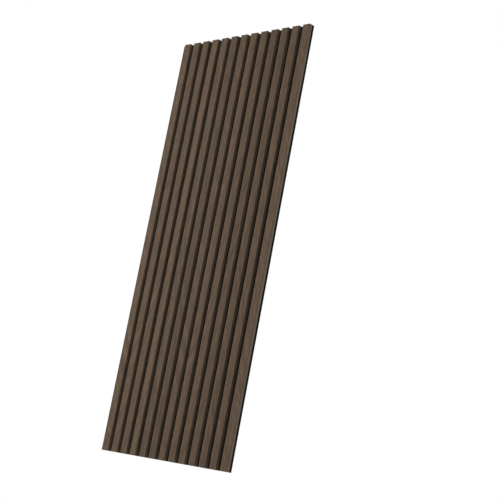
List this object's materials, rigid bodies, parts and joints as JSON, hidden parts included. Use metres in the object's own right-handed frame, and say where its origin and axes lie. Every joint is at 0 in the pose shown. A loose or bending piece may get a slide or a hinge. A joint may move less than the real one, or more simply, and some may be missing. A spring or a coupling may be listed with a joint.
{
  "type": "acoustic slat wall panel",
  "caption": "Flat wall panel of upright wood-veneered slats glued side by side to a black acoustic felt sheet that stands out past the first slat.",
  "frame": {"origin": "middle of the felt's back face, which lies on the wall", "axes": "+Z along the slats, upwards; +X across the slats, towards the side where the last slat is flush with the felt; +Y into the wall, so the slats face -Y"},
  "size_m": [0.52, 0.018, 1.22],
  "materials": {
    "backing_felt": "black pressed polyester felt",
    "core_board": "dark fibreboard, sawn at the ends",
    "smoked_veneer": "smoked wood veneer, matt lacquer, grain along the slat"
  },
  "bodies": {
    "root": {"felt_backing": "backing_felt", "slat_core_01": "core_board", "slat_core_02": "core_board", "slat_core_03": "core_board", "slat_core_04": "core_board", "slat_core_05": "core_board", "slat_core_06": "core_board", "slat_core_07": "core_board", "slat_core_08": "core_board", "slat_core_09": "core_board", "slat_core_10": "core_board", "slat_core_11": "core_board", "slat_core_12": "core_board", "slat_core_13": "core_board", "slat_veneer_01": "smoked_veneer", "slat_veneer_02": "smoked_veneer", "slat_veneer_03": "smoked_veneer", "slat_veneer_04": "smoked_veneer", "slat_veneer_05": "smoked_veneer", "slat_veneer_06": "smoked_veneer", "slat_veneer_07": "smoked_veneer", "slat_veneer_08": "smoked_veneer", "slat_veneer_09": "smoked_veneer", "slat_veneer_10": "smoked_veneer", "slat_veneer_11": "smoked_veneer", "slat_veneer_12": "smoked_veneer", "slat_veneer_13": "smoked_veneer"}
  },
  "joints": []
}
